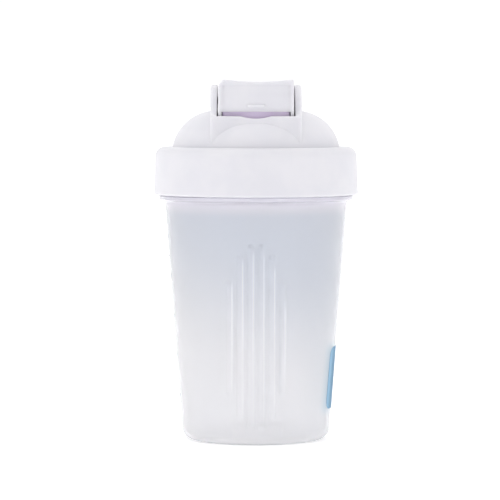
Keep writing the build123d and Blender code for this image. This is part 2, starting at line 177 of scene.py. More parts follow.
class Shader:
    """The node tree of a material or a world, and the only place where its nodes are made."""

    def __init__(self, owner: bpy.types.ID, output: str = "ShaderNodeOutputMaterial") -> None:
        """Empties the owner's tree and gives it an output.

        Args:
            owner: the material or the world.
            output: the type of the output node.
        """
        self.owner = owner
        owner.use_nodes = True
        self.tree = owner.node_tree
        self.tree.nodes.clear()
        self.out = self.node(output)

    def node(
        self,
        kind: str,
        settings: dict[str, object] | None = None,
        inputs: dict[int | str, object] | None = None,
    ) -> bpy.types.Node:
        """Adds a node.

        Args:
            kind: the node's type.
            settings: its properties, and "stops" for a colour ramp's positions and colours.
            inputs: the value or link of each socket, by name or number.

        Returns:
            The new node.
        """
        made = self.tree.nodes.new(kind)
        for key, value in (settings or {}).items():
            if key == "stops":
                ramp = made.color_ramp.elements
                while len(ramp) < len(value):
                    ramp.new(0.5)
                for stop, (position, colour) in zip(ramp, value):
                    stop.position = position
                    stop.color = (*colour, 1.0)
            else:
                setattr(made, key, value)
        for key, value in (inputs or {}).items():
            socket = made.inputs[key]
            if isinstance(value, Term):
                self.tree.links.new(value.socket, socket)
            elif isinstance(value, bpy.types.NodeSocket):
                self.tree.links.new(value, socket)
            elif socket.type == "RGBA":
                socket.default_value = (*value, 1.0)
            else:
                socket.default_value = value
        return made

    def term(
        self,
        kind: str,
        settings: dict[str, object] | None,
        inputs: dict[int | str, object] | None,
        output: int | str = 0,
    ) -> Term:
        """Adds a node and wraps one of its outputs.

        Args:
            kind: the node's type.
            settings: its properties.
            inputs: the value or link of each socket.
            output: which output to wrap, by name or number.

        Returns:
            The wrapped output.
        """
        return Term(self, self.node(kind, settings, inputs).outputs[output])

    def place(self, kind: str = "Object") -> bpy.types.NodeSocket:
        """Where a point is: in the piece's own metres, unless another kind is named."""
        return self.node("ShaderNodeTexCoord").outputs[kind]

    def axis(self, letter: str, kind: str = "Object") -> Term:
        """One coordinate of the place, by its letter."""
        return self.term("ShaderNodeSeparateXYZ", None, {0: self.place(kind)}, letter)

    def stretched(self, scale: tuple[float, float, float]) -> bpy.types.NodeSocket:
        """The place, scaled along each axis.

        Args:
            scale: the factor along X, Y and Z.

        Returns:
            The scaled vector.
        """
        return self.node(
            "ShaderNodeVectorMath", {"operation": "MULTIPLY"}, {0: self.place(), 1: scale}
        ).outputs[0]

    def noise(self, size: float, detail: float = 2.0, vector: object = None) -> Term:
        """Soft noise whose blobs are about size across.

        Args:
            size: the blobs' width in metres.
            detail: how many finer layers are added.
            vector: where to read it, or None for the piece's own place.

        Returns:
            A number from about 0 to 1.
        """
        inputs = {"Vector": vector or self.place(), "Scale": 1 / size, "Detail": detail}
        return self.term("ShaderNodeTexNoise", {"noise_dimensions": "3D"}, inputs)

    def band(self, value: Term, low: float, high: float) -> Term:
        """A smooth rise from 0 at low to 1 at high.

        Args:
            value: the number that rises.
            low: where the rise starts.
            high: where it ends.

        Returns:
            The share, 0 below low and 1 above high.
        """
        settings = {"interpolation_type": "SMOOTHSTEP"}
        inputs = {"Value": value, "From Min": low, "From Max": high}
        return self.term("ShaderNodeMapRange", settings, inputs)

    def mix(self, share: Term | float, first: object, second: object) -> bpy.types.NodeSocket:
        """Blends two colours.

        Args:
            share: how much of the second there is.
            first: the first colour or link.
            second: the second colour or link.

        Returns:
            The blended colour.
        """
        made = self.node(
            "ShaderNodeMix", {"data_type": "RGBA"}, {"Factor": share, 6: first, 7: second}
        )
        return made.outputs[2]

    def bump(self, height: Term, depth: float, under: object = None) -> bpy.types.NodeSocket:
        """Turns a height from 0 to 1 into a surface normal.

        Args:
            height: the height.
            depth: how far 1 stands above 0, in metres.
            under: a normal that this one lies on, if any.

        Returns:
            The normal.
        """
        inputs = {"Height": height, "Distance": depth, "Strength": 1.0}
        if under is not None:
            inputs["Normal"] = under
        return self.node("ShaderNodeBump", None, inputs).outputs[0]

    def finish(
        self, inputs: dict[int | str, object], kind: str = "ShaderNodeBsdfPrincipled"
    ) -> bpy.types.ID:
        """Ends the tree with one shader.

        Args:
            inputs: the shader's sockets.
            kind: the shader's type.

        Returns:
            The finished material or world.
        """
        shader = self.node(kind, None, inputs)
        self.tree.links.new(shader.outputs[0], self.out.inputs["Surface"])
        return self.owner


# ---------------------------------------------------------------------------------------------
# Finishes
# ---------------------------------------------------------------------------------------------


@dataclass(frozen=True)
class MouldedShell:
    """Satin white polypropylene with the fine texture that a blasted mould leaves."""

    name: str = "satin_white_shell"
    colour: Colour = (0.765, 0.757, 0.785)
    shade: Colour = (0.735, 0.73, 0.765)
    gloss: float = 0.34
    gloss_spread: float = 0.1
    shine: float = 0.3
    grain: float = 0.35 * MM
    grain_depth: float = 0.006 * MM
    flow: float = 16 * MM
    flow_detail: float = 3.0
    flow_band: Span = (0.35, 0.65)
    ripple: float = 5 * MM
    ripple_depth: float = 0.012 * MM
    milkiness: float = 0.4
    milky_colour: Colour = (1.0, 0.95, 1.0)
    milky_reach: float = 2.0 * MM

    def make(self) -> bpy.types.Material:
        """Builds the material.

        Returns:
            The material.
        """
        shader = Shader(bpy.data.materials.new(self.name))
        cloud = shader.band(shader.noise(self.flow, self.flow_detail), *self.flow_band)
        fine = shader.noise(self.grain, 1.0)
        wave = shader.noise(self.ripple, 1.0)
        normal = shader.bump(wave, self.ripple_depth)
        return shader.finish(
            {
                "Base Color": shader.mix(cloud, self.colour, self.shade),
                "Roughness": self.gloss + self.gloss_spread * (fine - 0.5),
                "Normal": shader.bump(fine, self.grain_depth, normal),
                "IOR": POLYPROPYLENE_IOR,
                "Specular IOR Level": self.shine,
                "Subsurface Weight": self.milkiness,
                "Subsurface Radius": self.milky_colour,
                "Subsurface Scale": self.milky_reach,
            }
        )


@dataclass(frozen=True)
class FrostedWall:
    """Milky, see-through polypropylene, with painted shade that makes it darker and bluer towards
    the top and the right, painted light near white at the foot, and painted lilac light at the
    brim.

    The wall spreads light sideways, so painted light in the panel's blue lies on it for a little
    way around the printed panel. Painted glow in the emission shows at the foot and in the flange,
    and painted highlights run along one flank of each rib.
    """

    name: str = "frosted_cup_wall"
    # Painted shade: the upper colour is darker and bluer, under the lid; the lower one is painted
    # light from the floor.
    upper: Colour = (0.835, 0.865, 0.925)
    lower: Colour = (0.985, 0.98, 0.99)
    # Painted lilac light at the brim, under the collar.
    brim_light: Colour = (0.975, 0.96, 0.995)
    haze: Colour = (0.87, 0.885, 0.925)
    # Painted light in the panel's blue, spread through the wall around the printed panel.
    panel_light: Colour = (0.55, 0.80, 0.95)
    panel_light_share: float = 0.6
    panel_light_middle: float = 28.4 * MM
    panel_light_across: Span = (12 * MM, 20 * MM)
    panel_light_upright: Span = (12 * MM, 18 * MM)
    panel_light_side: Span = (20 * MM, 30 * MM)
    # Painted shade reaches further down towards the right.
    painted_shade_slant: float = 0.35
    painted_shade_span: Span = (30 * MM, 92 * MM)
    brim_light_span: Span = (101 * MM, 106 * MM)
    gloss: float = 0.32
    gloss_spread: float = 0.12
    grain: float = 0.4 * MM
    grain_depth: float = 0.008 * MM
    flow: float = 22 * MM
    flow_detail: float = 3.0
    flow_stretch: tuple[float, float, float] = (1.0, 1.0, 0.25)
    flow_band: Span = (0.3, 0.7)
    flow_share: float = 0.2
    coat: float = 0.75
    coat_gloss: float = 0.09
    clear: float = 0.68
    # Painted glow in the emission: in the flange, along the ribs as painted highlights, and at the
    # foot.
    rim_glow: Colour = (0.042, 0.038, 0.052)
    lit: Colour = (0.13, 0.13, 0.135)
    foot_glow: Colour = (0.03, 0.03, 0.032)
    foot_span: Span = (-10 * MM, 75 * MM)
    # Where the painted rib highlights lie, and how they fade towards the bottom.
    rib_aside: float = 1.1 * MM
    rib_lit: Span = (0.05 * MM, 0.5 * MM)
    rib_fade: Span = (8 * MM, 62 * MM)
    rib_least: float = 0.3
    rib_ends: Span = (0.8, 1.0)
    # Where the painted glow in the flange lies.
    rim_glow_span: Span = (103 * MM, 109 * MM)

    def rib_highlights(self, shader: Shader) -> Term:
        """How much painted highlight lies along one flank of each rib, fading towards the bottom.

        Args:
            shader: the wall's shader.

        Returns:
            The share, from 0 to 1.
        """
        half_width, middle, half_height = RIB_OVAL
        half = RIB_SPACING / 2
        shifted = shader.axis("X") + (half - self.rib_aside)
        away = shifted.folded(half)
        across = shader.axis("X") / half_width
        upright = (shader.axis("Z") - middle) / half_height
        inside = 1 - shader.band(across * across + upright * upright, *self.rib_ends)
        rise = shader.band(shader.axis("Z"), *self.rib_fade)
        fade = self.rib_least + (1 - self.rib_least) * rise
        return inside * fade * (1 - shader.band(away, *self.rib_lit))

    def panel_light_mask(self, shader: Shader) -> Term:
        """How much painted light in the panel's blue lies on a point of the wall.

        Args:
            shader: the wall's shader.

        Returns:
            The share, from 0 to panel_light_share.
        """
        across = 1 - shader.band(abs(shader.axis("Y")), *self.panel_light_across)
        upright = 1 - shader.band(abs(shader.axis("Z") - self.panel_light_middle), *self.panel_light_upright)
        side = shader.band(shader.axis("X"), *self.panel_light_side)
        return self.panel_light_share * (across * upright * side)

    def make(self) -> bpy.types.Material:
        """Builds the material.

        Returns:
            The material.
        """
        shader = Shader(bpy.data.materials.new(self.name))
        # Painted shade towards the top and the right, painted light near white at the foot.
        height = shader.axis("Z")
        slanted = height + self.painted_shade_slant * shader.axis("X")
        body = shader.mix(shader.band(slanted, *self.painted_shade_span), self.lower, self.upper)
        # Painted lilac light at the brim.
        body = shader.mix(shader.band(height, *self.brim_light_span), body, self.brim_light)
        flow = shader.noise(self.flow, self.flow_detail, shader.stretched(self.flow_stretch))
        streaks = self.flow_share * shader.band(flow, *self.flow_band)
        body = shader.mix(streaks, body, self.haze)
        fine = shader.noise(self.grain, 1.0)
        # Painted glow: in the flange below the collar, and fading up from the foot.
        rim = shader.band(height, *self.rim_glow_span)
        foot = 1 - shader.band(height, *self.foot_span)
        glow = shader.mix(rim, shader.mix(foot, BLACK, self.foot_glow), self.rim_glow)
        return shader.finish(
            {
                # Painted light in the panel's blue around the printed panel.
                "Base Color": shader.mix(self.panel_light_mask(shader), body, self.panel_light),
                # Painted highlights along the ribs, in the emission.
                "Emission Color": shader.mix(self.rib_highlights(shader), glow, self.lit),
                "Emission Strength": 1.0,
                "Roughness": self.gloss + self.gloss_spread * (fine - 0.5),
                "Normal": shader.bump(fine, self.grain_depth),
                "IOR": POLYPROPYLENE_IOR,
                "Transmission Weight": self.clear,
                "Coat Weight": self.coat,
                "Coat Roughness": self.coat_gloss,
            }
        )


@dataclass(frozen=True)
class Silicone:
    """Matt silicone rubber with a soft bloom and faint dust."""

    name: str
    colour: Colour
    bloom: Colour
    gloss: float = 0.55
    gloss_spread: float = 0.15
    grain: float = 0.5 * MM
    grain_depth: float = 0.012 * MM
    cloud: float = 6 * MM
    cloud_detail: float = 3.0
    cloud_band: Span = (0.3, 0.75)
    cloud_share: float = 0.6
    milkiness: float = 0.25
    milky_colour: Colour = (1.0, 0.9, 1.0)
    milky_reach: float = 1.0 * MM

    def make(self) -> bpy.types.Material:
        """Builds the material.

        Returns:
            The material.
        """
        shader = Shader(bpy.data.materials.new(self.name))
        fine = shader.noise(self.grain, 2.0)
        cloud = shader.band(shader.noise(self.cloud, self.cloud_detail), *self.cloud_band)
        return shader.finish(
            {
                "Base Color": shader.mix(self.cloud_share * cloud, self.colour, self.bloom),
                "Roughness": self.gloss + self.gloss_spread * (fine - 0.5),
                "Normal": shader.bump(fine, self.grain_depth),
                "IOR": SILICONE_IOR,
                "Subsurface Weight": self.milkiness,
                "Subsurface Radius": self.milky_colour,
                "Subsurface Scale": self.milky_reach,
            }
        )


@dataclass(frozen=True)
class ScreenPrint:
    """Printed ink with the weave of the screen, and painted shade that makes it deeper along the
    print's middle, seen edge-on at the cup's flank, and paler towards the print's sides.
    """

    name: str
    colour: Colour
    deep: Colour
    mesh: float = 0.35 * MM
    mesh_depth: float = 0.006 * MM
    mesh_share: float = 0.1
    gloss: float = 0.45
    gloss_spread: float = 0.15
    shine: float = 0.15
    cloud: float = 9 * MM
    cloud_band: Span = (0.3, 0.7)
    cloud_share: float = 0.15
    body: float = 0.85
    # Painted shade: how far from the print's middle the ink turns paler, and by how much.
    paler_sides_span: Span = (7.5 * MM, 12.5 * MM)
    paler_sides_loss: float = 0.8

    def make(self) -> bpy.types.Material:
        """Builds the material.

        Returns:
            The material.
        """
        shader = Shader(bpy.data.materials.new(self.name))
        weave = shader.noise(self.mesh, 1.0)
        cloud = shader.band(shader.noise(self.cloud), *self.cloud_band)
        # Painted shade: deeper along the middle, paler towards the sides.
        paler_sides = shader.band(abs(shader.axis("Y")), *self.paler_sides_span)
        laid = self.body + self.cloud_share * cloud + self.mesh_share * (weave - 0.5)
        depth = (1 - self.paler_sides_loss * paler_sides) * laid
        return shader.finish(
            {
                "Base Color": shader.mix(depth, self.colour, self.deep),
                "Roughness": self.gloss + self.gloss_spread * (weave - 0.5),
                "Normal": shader.bump(weave, self.mesh_depth),
                "Specular IOR Level": self.shine,
            }
        )


@dataclass(frozen=True)
class LightTable:
    """The pale sheet that the bottle stands on, lit a little from under."""

    name: str = "light_table"
    colour: Colour = (0.92, 0.92, 0.93)
    fibre: float = 3 * MM
    fibre_share: float = 0.3
    roughness: float = 0.8
    glow: float = 0.32

    def make(self) -> bpy.types.Material:
        """Builds the material.

        Returns:
            The material.
        """
        shader = Shader(bpy.data.materials.new(self.name))
        fibre = shader.noise(self.fibre)
        return shader.finish(
            {
                "Base Color": shader.mix(self.fibre_share * fibre, self.colour, WHITE),
                "Roughness": self.roughness,
                "Emission Color": WHITE,
                "Emission Strength": self.glow,
                "Specular IOR Level": 0.0,
            }
        )


# ---------------------------------------------------------------------------------------------
# Mesh tools
# ---------------------------------------------------------------------------------------------


def rounded(points: Sequence[Point], radii: Sequence[float], step: float = 0.16) -> list[Point]:
    """Rounds the corners of a closed outline.

    Args:
        points: the corners in order.
        radii: the radius at each corner, 0 for a sharp one.
        step: the largest turn between two points of a rounding, in radians.

    Returns:
        The outline's points.
    """
    outline: list[Point] = []
    count = len(points)
    for index, radius in enumerate(radii):
        corner = Vector(points[index])
        before = (Vector(points[index - 1]) - corner).normalized()
        after = (Vector(points[(index + 1) % count]) - corner).normalized()
        if radius <= 0:
            outline.append(tuple(corner))
            continue
        half = before.angle(after) / 2
        centre = corner + (before + after).normalized() * (radius / math.sin(half))
        start = corner + before * (radius / math.tan(half)) - centre
        sweep = math.pi - 2 * half
        if before.x * after.y - before.y * after.x > 0:
            sweep = -sweep
        pieces = max(2, math.ceil(abs(sweep) / step))
        for number in range(pieces + 1):
            turn = Matrix.Rotation(sweep * number / pieces, 2)
            outline.append(tuple(centre + turn @ start))
    return outline


def arc(centre: Point, radius: float, start: float, end: float, pieces: int) -> list[Point]:
    """Points along a circle.

    Args:
        centre: the circle's centre.
        radius: its radius.
        start: the first angle in degrees.
        end: the last angle in degrees.
        pieces: how many chords there are.

    Returns:
        The points, both ends included.
    """
    angles = np.radians(np.linspace(start, end, pieces + 1))
    return [(centre[0] + radius * math.cos(a), centre[1] + radius * math.sin(a)) for a in angles]


def section(corners: Sequence[Corner]) -> list[Point]:
    """Rounds an outline that is given as pairs of a corner and its radius."""
    return rounded([point for point, _ in corners], [radius for _, radius in corners])


def as_object(name: str, mesh: bmesh.types.BMesh) -> bpy.types.Object:
    """Turns a bmesh into an object of the scene.

    Args:
        name: the piece's name.
        mesh: the bmesh, which is freed.

    Returns:
        The new object, smooth shaded.
    """
    bmesh.ops.recalc_face_normals(mesh, faces=mesh.faces)
    data = bpy.data.meshes.new(name)
    mesh.to_mesh(data)
    mesh.free()
    data.shade_smooth()
    made = bpy.data.objects.new(name, data)
    bpy.context.scene.collection.objects.link(made)
    return made


def lathe(
    name: str,
    outline: Sequence[Point],
    angles: Sequence[float],
    swell: Callable[[float, float, float], float] | None = None,
) -> bpy.types.Object:
    """Turns a closed outline about the Z axis.

    Args:
        name: the piece's name.
        outline: (radius, height) of each point.
        angles: the directions of the rows of points, in radians.
        swell: how far a point moves outwards, from its angle, radius and height.

    Returns:
        The turned piece.
    """
    mesh = bmesh.new()
    rows = []
    for radius, height in outline:
        if radius < ON_AXIS:
            rows.append([mesh.verts.new((0, 0, height))])
            continue
        ring = []
        for angle in angles:
            out = radius + (swell(angle, radius, height) if swell else 0.0)
            ring.append(mesh.verts.new((out * math.cos(angle), out * math.sin(angle), height)))
        rows.append(ring)
    for low, high in zip(rows, rows[1:] + rows[:1]):
        if len(low) == 1 and len(high) == 1:
            continue
        for index in range(len(angles)):
            following = (index + 1) % len(angles)
            if len(low) == 1:
                mesh.faces.new((low[0], high[following], high[index]))
            elif len(high) == 1:
                mesh.faces.new((low[index], low[following], high[0]))
            else:
                mesh.faces.new((low[index], low[following], high[following], high[index]))
    return as_object(name, mesh)


def even_angles(count: int) -> list[float]:
    """Directions all round, evenly spaced."""
    return [TURN * number / count for number in range(count)]


def prism(
    name: str, outline: Sequence[Point], frame: Matrix, depth: float
) -> bpy.types.Object:
    """Pushes a flat outline through a depth.

    Args:
        name: the piece's name.
        outline: the outline in the frame's X and Y.
        frame: where the outline's plane is.
        depth: how far it goes along the frame's Z.

    Returns:
        The prism.
    """
    mesh = bmesh.new()
    near = [mesh.verts.new(frame @ Vector((x, y, 0))) for x, y in outline]
    far = [mesh.verts.new(frame @ Vector((x, y, depth))) for x, y in outline]
    mesh.faces.new(near)
    mesh.faces.new(far)
    for index in range(len(outline)):
        following = (index + 1) % len(outline)
        mesh.faces.new((near[index], near[following], far[following], far[index]))
    return as_object(name, mesh)


def box(name: str, low: Sequence[float], high: Sequence[float]) -> bpy.types.Object:
    """A square-cornered solid between two corners, for cutting and for soft edges."""
    outline = [(low[0], low[1]), (high[0], low[1]), (high[0], high[1]), (low[0], high[1])]
    return prism(name, outline, Matrix.Translation((0, 0, low[2])), high[2] - low[2])


def side_plane(x: float) -> Matrix:
    """The plane across X at x, whose X and Y are the bottle's Y and Z."""
    return Matrix(((0, 0, 1, x), (1, 0, 0, 0), (0, 1, 0, 0), (0, 0, 0, 1)))


def front_plane(y: float) -> Matrix:
    """The plane across Y at y, whose X and Y are the bottle's X and Z, going to the back."""
    return Matrix(((1, 0, 0, 0), (0, 0, 1, y), (0, 1, 0, 0), (0, 0, 0, 1)))


def bar_across(name: str, centre: Point, radius: float, reach: float) -> bpy.types.Object:
    """A round bar along X, as long to both sides of the middle, for cutting a pin's hole."""
    circle = arc(centre, radius, 0, 360, BAR_FACETS)[:-1]
    return prism(name, circle, side_plane(-reach), 2 * reach)


def settle(piece: bpy.types.Object) -> bpy.types.Object:
    """Makes a piece's modifiers part of its mesh.

    Args:
        piece: the piece.

    Returns:
        The same piece, with no modifiers.
    """
    bpy.context.view_layer.update()
    graph = bpy.context.evaluated_depsgraph_get()
    data = bpy.data.meshes.new_from_object(piece.evaluated_get(graph))
    piece.modifiers.clear()
    piece.data = data
    return piece


def soften(
    piece: bpy.types.Object,
    width: float,
    steps: int = 3,
    where: Callable[[Vector], bool] | None = None,
) -> bpy.types.Object:
    """Rounds the sharp edges of a piece.

    Args:
        piece: the piece.
        width: how far the rounding reaches from the edge.
        steps: how many facets it has.
        where: which edges are rounded, told from their middles, or None for all of them.

    Returns:
        The same piece.
    """
    mesh = bmesh.new()
    mesh.from_mesh(piece.data)
    edges = [
        edge
        for edge in mesh.edges
        if edge.is_manifold
        and edge.calc_face_angle() > SHARP
        and (where is None or where((edge.verts[0].co + edge.verts[1].co) / 2))
    ]
    bmesh.ops.bevel(
        mesh,
        geom=edges,
        offset=width,
        offset_type="OFFSET",
        segments=steps,
        profile=0.5,
        affect="EDGES",
        clamp_overlap=True,
    )
    mesh.to_mesh(piece.data)
    mesh.free()
    return piece


def change(piece: bpy.types.Object, tool: bpy.types.Object, how: Cut) -> bpy.types.Object:
    """Cuts, joins or trims a piece with another, which is used up.

    Args:
        piece: the piece that stays.
        tool: the piece that is used up.
        how: what happens.

    Returns:
        The piece that stays.
    """
    joint = piece.modifiers.new("change", "BOOLEAN")
    joint.operation = how.value
    joint.solver = "EXACT"
    joint.object = tool
    settle(piece)
    bpy.data.objects.remove(tool)
    return piece


def merged(name: str, pieces: Sequence[bpy.types.Object]) -> bpy.types.Object:
    """Puts several meshes in one object without changing them.

    Args:
        name: the new piece's name.
        pieces: the pieces, which are used up.

    Returns:
        The new piece.
    """
    mesh = bmesh.new()
    for piece in pieces:
        mesh.from_mesh(piece.data)
        bpy.data.objects.remove(piece)
    return as_object(name, mesh)


def crisp(piece: bpy.types.Object, degrees: float) -> bpy.types.Object:
    """Shades a piece smooth except over its sharp edges.

    Args:
        piece: the piece.
        degrees: the smallest turn that counts as sharp.

    Returns:
        The same piece.
    """
    piece.data.shade_smooth()
    piece.data.set_sharp_from_angle(angle=math.radians(degrees))
    weights = piece.modifiers.new("weights", "WEIGHTED_NORMAL")
    weights.keep_sharp = True
    return settle(piece)


def dress(
    piece: bpy.types.Object, finish: bpy.types.Material, body: str, slot: str, *nodes: str
) -> bpy.types.Object:
    """Gives a piece its finish and its place in the model.

    Args:
        piece: the piece.
        finish: its material.
        body: the body that it moves with.
        slot: the record's material slot; not used.
        nodes: the frame's nodes that it stands for.

    Returns:
        The same piece.
    """
    piece.data.materials.clear()
    piece.data.materials.append(finish)
    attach(piece, body)
    if nodes:
        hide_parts(*nodes)
    LOG.info("%s: %d faces on %s", piece.name, len(piece.data.polygons), body)
    return piece


# ---------------------------------------------------------------------------------------------
# Studio
# ---------------------------------------------------------------------------------------------


@dataclass(frozen=True)
class SoftBox:
    """One soft light: where it hangs, its width and height, and its power in watts."""

    name: str
    place: tuple[float, float, float]
    size: Span
    watts: float


@dataclass
class Studio:
    """The camera, the light and the sheet that the bottle stands on."""

    eye_distance: float = 1.379
    eye_height: float = 0.1568
    eye_side: float = -0.0027
    aim_height: float = 0.0854
    lens: float = 219.9
    sheet_radius: float = 30.0
    sheet_sides: int = 48
    dim_front: Colour = (0.38, 0.38, 0.395)
    bright_back: Colour = (1.04, 1.04, 1.05)
    sky_tilt: float = 0.5
    sky_span: Span = (-0.95, 0.45)
    boxes: tuple[SoftBox, ...] = (
        SoftBox("right_box", (1.1, -0.385, 0.55), (0.7, 0.98), 0.1),
        SoftBox("left_box", (-1.1, -0.275, 0.55), (0.7, 0.98), 0.5),
        SoftBox("top_box", (-0.1, -0.35, 1.35), (0.9, 0.9), 3.0),
        SoftBox("right_strip", (0.6, -1.1, 0.35), (0.08, 1.2), 1.3),
        SoftBox("left_strip", (-0.7, -1.0, 0.35), (0.08, 1.2), 1.0),
    )

    def camera(self) -> None:
        """Sets the camera at eye level before the bottle, with a long lens."""
        made = bpy.data.objects.new("camera", bpy.data.cameras.new("camera"))
        made.data.lens = self.lens
        made.data.clip_end = 2 * self.sheet_radius
        made.location = (self.eye_side, -self.eye_distance, self.eye_height)
        aim = Vector((self.eye_side, 0, self.aim_height)) - made.location
        made.rotation_euler = aim.to_track_quat("-Z", "Y").to_euler()
        bpy.context.scene.collection.objects.link(made)
        bpy.context.scene.camera = made

    def sky(self) -> None:
        """Surrounds the bottle with white, whose light is dimmer from low in the front."""
        world = bpy.data.worlds.new("studio")
        bpy.context.scene.world = world
        shader = Shader(world, "ShaderNodeOutputWorld")
        along = shader.axis("Y", "Generated") + self.sky_tilt * shader.axis("Z", "Generated")
        share = shader.band(along, *self.sky_span)
        cast = shader.mix(share, self.dim_front, self.bright_back)
        seen = shader.term("ShaderNodeLightPath", None, None, "Is Camera Ray")
        light = shader.mix(seen, cast, self.bright_back)
        shader.finish({"Color": light}, "ShaderNodeBackground")

    def lights(self) -> None:
        """Hangs the soft boxes, all turned to the bottle."""
        for box_light in self.boxes:
            lamp = bpy.data.lights.new(box_light.name, "AREA")
            lamp.shape = "RECTANGLE"
            lamp.size, lamp.size_y = box_light.size
            lamp.energy = box_light.watts
            made = bpy.data.objects.new(box_light.name, lamp)
            made.location = box_light.place
            aim = Vector((0, 0, self.aim_height)) - made.location
            made.rotation_euler = aim.to_track_quat("-Z", "Y").to_euler()
            bpy.context.scene.collection.objects.link(made)

    def sheet(self) -> None:
        """Lays the pale sheet under everything."""
        mesh = bmesh.new()
        bmesh.ops.create_circle(
            mesh, cap_ends=True, radius=self.sheet_radius, segments=self.sheet_sides
        )
        made = as_object("floor", mesh)
        if made.data.polygons[0].normal.z < 0:
            made.data.flip_normals()
        made.data.materials.append(LightTable().make())

    def build(self) -> None:
        """Sets up the whole studio."""
        bpy.context.scene.view_settings.view_transform = "Standard"
        self.camera()
        self.sky()
        self.lights()
        self.sheet()
        LOG.info("studio is ready")


# ---------------------------------------------------------------------------------------------
# Pieces
# ---------------------------------------------------------------------------------------------


def smooth(share: float) -> float:
    """A soft step from 0 to 1, flat beyond both ends."""
    share = min(max(share, 0.0), 1.0)
    return share * share * (3 - 2 * share)


def graded_angles(
    spots: Sequence[float], reach: float, fine: float, coarse: float
) -> list[float]:
    """Directions all round, closer together near some spots.

    Args:
        spots: the middle of each fine stretch, in degrees, in rising order.
        reach: how far each fine stretch goes on both sides, in degrees.
        fine: the step inside a fine stretch, in degrees.
        coarse: the step elsewhere, in degrees.

    Returns:
        The directions in radians.
    """
    degrees: list[float] = []
    for spot, following in zip(spots, [*spots[1:], spots[0] + 360]):
        degrees += list(np.arange(spot - reach, spot + reach - fine / 2, fine))
        degrees += list(np.arange(spot + reach, following - reach - coarse / 2, coarse))
    return [math.radians(degree) for degree in degrees]


@dataclass(frozen=True)
class Thread:
    """A raised screw thread, as a swelling of the wall that carries it."""

    foot: float
    turns: float
    first: float
    lead: float = 12 * MM
    starts: int = 2
    height: float = 1.2 * MM
    crest: float = 0.6 * MM
    flank: float = 0.7 * MM
    run_out: float = 0.3

    def rise(self, angle: float, height: float) -> float:
        """How far the thread stands out of its wall.

        Args:
            angle: a direction about the bottle's axis, in radians.
            height: a height.

        Returns:
            The thread's height there.
        """
        best = 0.0
        for number in range(self.starts):
            along = (angle - self.first - TURN * number / self.starts) % TURN
            left = self.turns * TURN - along
            if left < 0:
                continue
            away = abs(height - self.foot - self.lead * along / TURN)
            side = smooth((self.crest + self.flank - away) / self.flank)
            best = max(best, self.height * side * smooth(min(along, left) / self.run_out))
        return best


